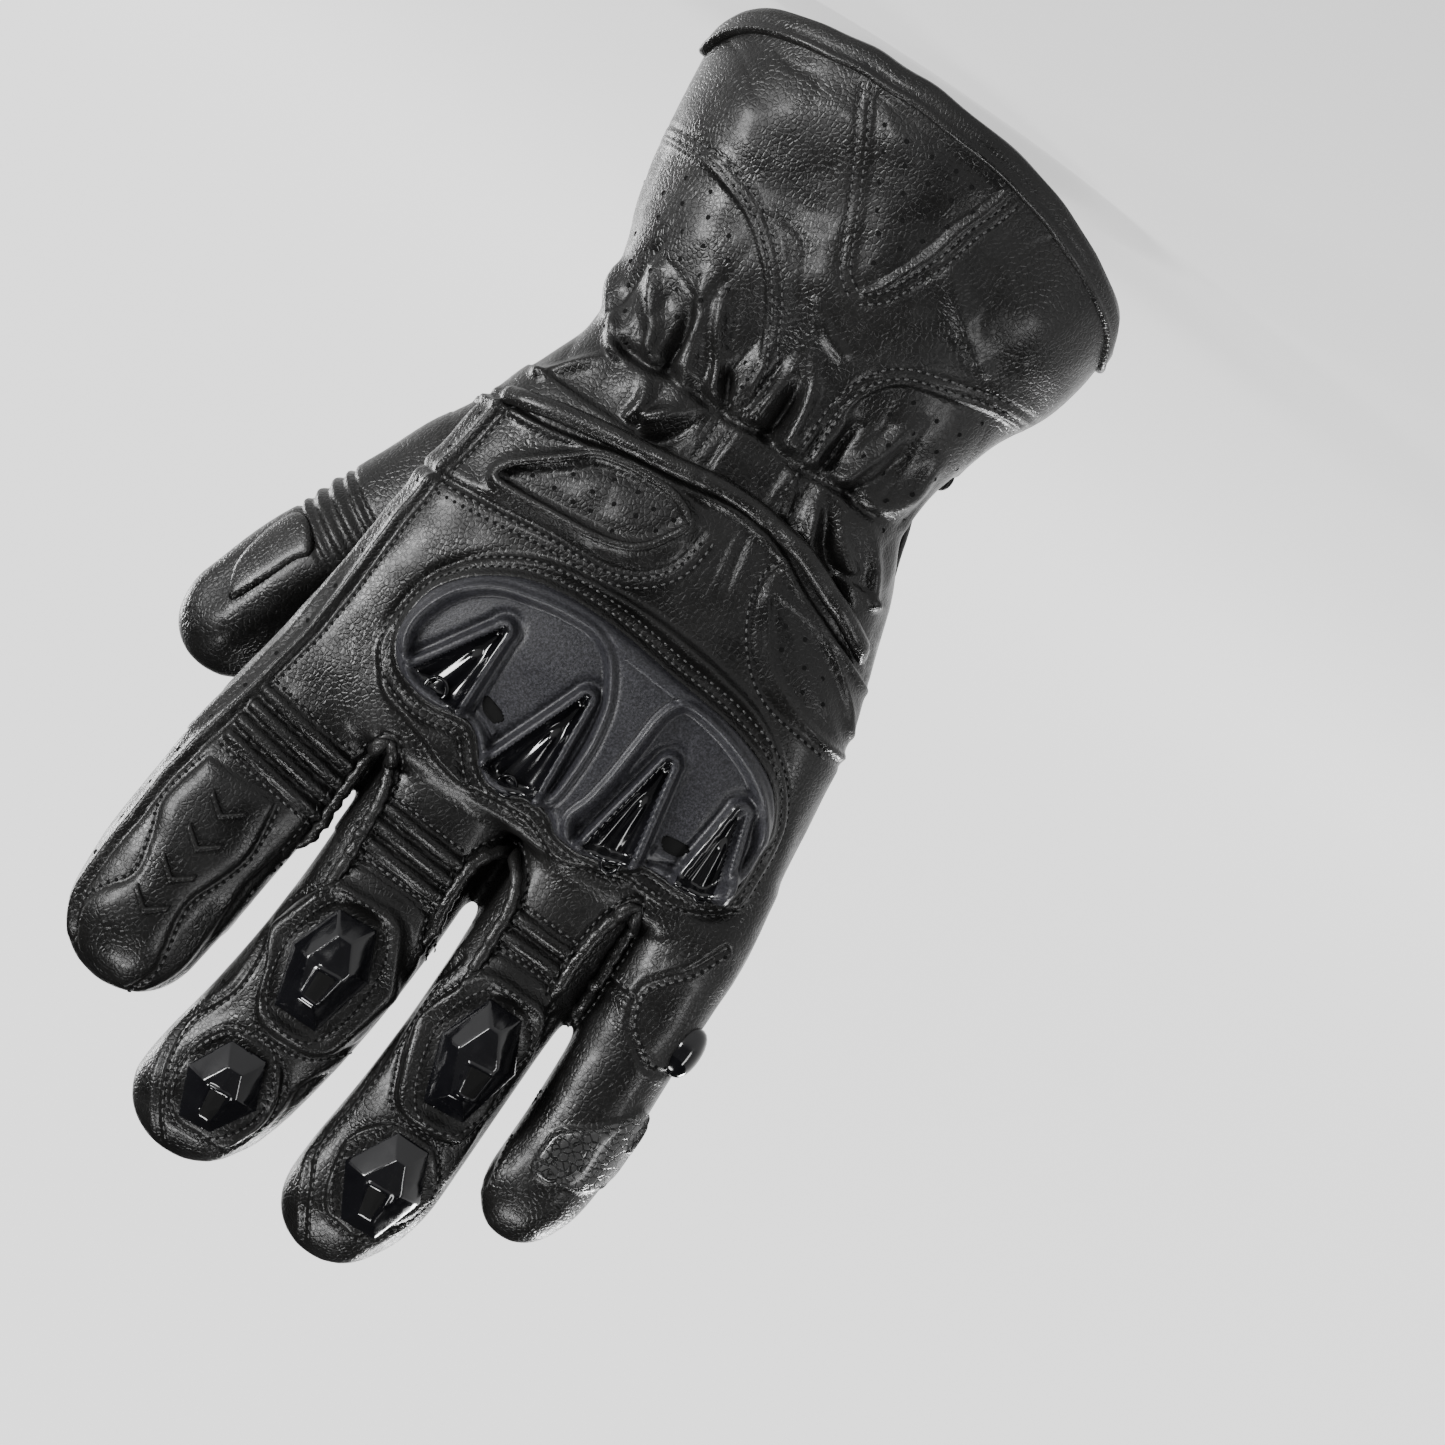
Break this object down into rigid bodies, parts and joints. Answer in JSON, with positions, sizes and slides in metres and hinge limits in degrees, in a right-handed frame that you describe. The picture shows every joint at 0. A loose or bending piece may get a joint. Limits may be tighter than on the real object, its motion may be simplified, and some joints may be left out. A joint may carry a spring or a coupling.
{
  "type": "motorcycle riding glove",
  "caption": "Left leather riding glove, short flared cuff, hard knuckle guard and finger caps, two strap closures and bending fingers.",
  "frame": {"origin": "middle of the cuff's opening, at the height of the lowest point of its edge", "axes": "+Z from the cuff's opening to the fingertips, +X towards the thumb, -Y out of the back of the hand"},
  "size_m": [0.1421, 0.0777, 0.264],
  "materials": {
    "leather": "semi-gloss black full-grain leather",
    "perforated_leather": "black leather with punched holes",
    "stretch_leather": "ribbed black leather",
    "cracked_leather": "glossy creased black leather",
    "matte_guard": "fine-textured dark grey plastic",
    "gloss_guard": "glossy black plastic",
    "grip_rubber": "pebbled black rubber",
    "foam": "soft foam",
    "lining": "black knitted lining",
    "elastic": "black woven elastic",
    "loop_tape": "black loop tape",
    "hook_tape": "black hook tape",
    "webbing": "black webbing"
  },
  "bodies": {
    "hand": {"back_panel": "leather", "palm_panel": "leather", "thumb_gusset": "leather", "cuff_back_panel": "leather", "cuff_palm_panel": "leather", "cuff_v_insert": "perforated_leather", "cuff_side_inserts": "perforated_leather", "cuff_binding": "leather", "back_oval_insert": "perforated_leather", "back_side_insert": "perforated_leather", "wrist_band": "leather", "side_strip": "perforated_leather", "palm_grip_patch": "grip_rubber", "hand_lining": "lining", "wrist_elastic": "elastic", "loop_tapes": "loop_tape", "pull_tab": "webbing", "guard_surround": "leather", "guard_foam": "foam", "knuckle_guard": "matte_guard", "guard_scoops": "gloss_guard", "index_stretch_panel": "stretch_leather", "middle_stretch_panel": "stretch_leather", "ring_stretch_panel": "stretch_leather", "little_stretch_panel": "stretch_leather", "thumb_stretch_panel": "stretch_leather"},
    "index_finger": {"index_back": "leather", "index_palm": "leather", "index_side_walls": "perforated_leather", "index_lining": "lining", "index_tip_panel": "leather"},
    "middle_finger": {"middle_back": "leather", "middle_palm": "leather", "middle_side_walls": "perforated_leather", "middle_lining": "lining", "middle_cap_surrounds": "leather", "middle_knuckle_cap": "gloss_guard", "middle_tip_cap": "gloss_guard"},
    "ring_finger": {"ring_back": "leather", "ring_palm": "leather", "ring_side_walls": "perforated_leather", "ring_lining": "lining", "ring_cap_surrounds": "leather", "ring_knuckle_cap": "gloss_guard", "ring_tip_cap": "gloss_guard"},
    "little_finger": {"little_back": "leather", "little_palm": "leather", "little_lining": "lining", "little_patch": "cracked_leather", "little_side_knob": "gloss_guard"},
    "thumb": {"thumb_back": "leather", "thumb_palm": "leather", "thumb_lining": "lining", "thumb_patch": "leather"},
    "cuff_strap": {"cuff_strap": "leather", "cuff_hook_tape": "hook_tape"},
    "wrist_strap": {"wrist_strap": "leather", "wrist_hook_tape": "hook_tape", "heel_pads": "leather"}
  },
  "joints": [
    {"name": "index_flex", "type": "hinge", "parent": "hand", "child": "index_finger", "pos_m": [0.0404, 0, 0.1835], "axis": [-0.9925, 0, 0.1219], "range_deg": [-8, 45], "deforming": ["index_stretch_panel"]},
    {"name": "middle_flex", "type": "hinge", "parent": "hand", "child": "middle_finger", "pos_m": [0.0063, 0, 0.1845], "axis": [-0.9997, 0, 0.0262], "range_deg": [-8, 45], "deforming": ["middle_stretch_panel"]},
    {"name": "ring_flex", "type": "hinge", "parent": "hand", "child": "ring_finger", "pos_m": [-0.0256, 0, 0.1845], "axis": [-1, 0, 0], "range_deg": [-8, 45], "deforming": ["ring_stretch_panel"]},
    {"name": "little_flex", "type": "hinge", "parent": "hand", "child": "little_finger", "pos_m": [-0.0512, 0, 0.1765], "axis": [-0.9998, 0, -0.0174], "range_deg": [-8, 45], "deforming": ["little_stretch_panel"]},
    {"name": "thumb_flex", "type": "hinge", "parent": "hand", "child": "thumb", "pos_m": [0.052, 0.0255, 0.139], "axis": [-0.7194, -0.5395, 0.4375], "range_deg": [-8, 30], "deforming": ["thumb_stretch_panel"]},
    {"name": "cuff_strap_open", "type": "hinge", "parent": "hand", "child": "cuff_strap", "pos_m": [0.0446, 0.0119, 0.032], "axis": [0.1167, 0.0409, -0.9923], "range_deg": [0, 100]},
    {"name": "wrist_strap_open", "type": "hinge", "parent": "hand", "child": "wrist_strap", "pos_m": [-0.0443, 0.00905, 0.0895], "axis": [-0.3269, 0.0128, 0.945], "range_deg": [0, 100]}
  ]
}
